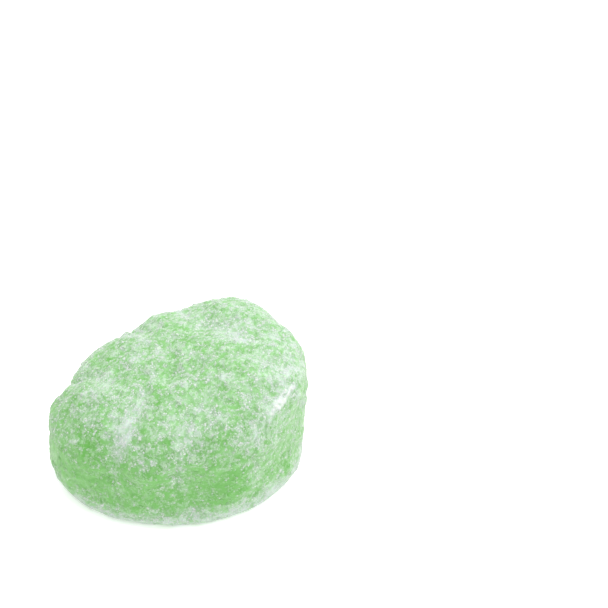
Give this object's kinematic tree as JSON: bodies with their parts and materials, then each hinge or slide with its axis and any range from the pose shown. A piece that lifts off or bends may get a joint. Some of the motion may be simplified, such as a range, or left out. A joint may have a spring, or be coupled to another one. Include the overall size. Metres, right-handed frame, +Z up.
{
  "type": "spearmint leaf jelly candy",
  "caption": "Plump leaf-shaped green jelly candy coated in granulated sugar, its lobes fanning from a midrib, lying on a flat back.",
  "frame": {"origin": "middle of the bounding box, on the plane of the flat back that the candy lies on", "axes": "+X along the leaf towards its broad stem end, -X towards its tip, +Y across the leaf, +Z up out of the moulded face"},
  "size_m": [0.0328, 0.0278, 0.0182],
  "materials": {
    "sugared_jelly": "translucent green starch jelly under a dull crust of fine granulated sugar"
  },
  "bodies": {
    "root": {"spearmint_leaf": "sugared_jelly"}
  },
  "joints": []
}
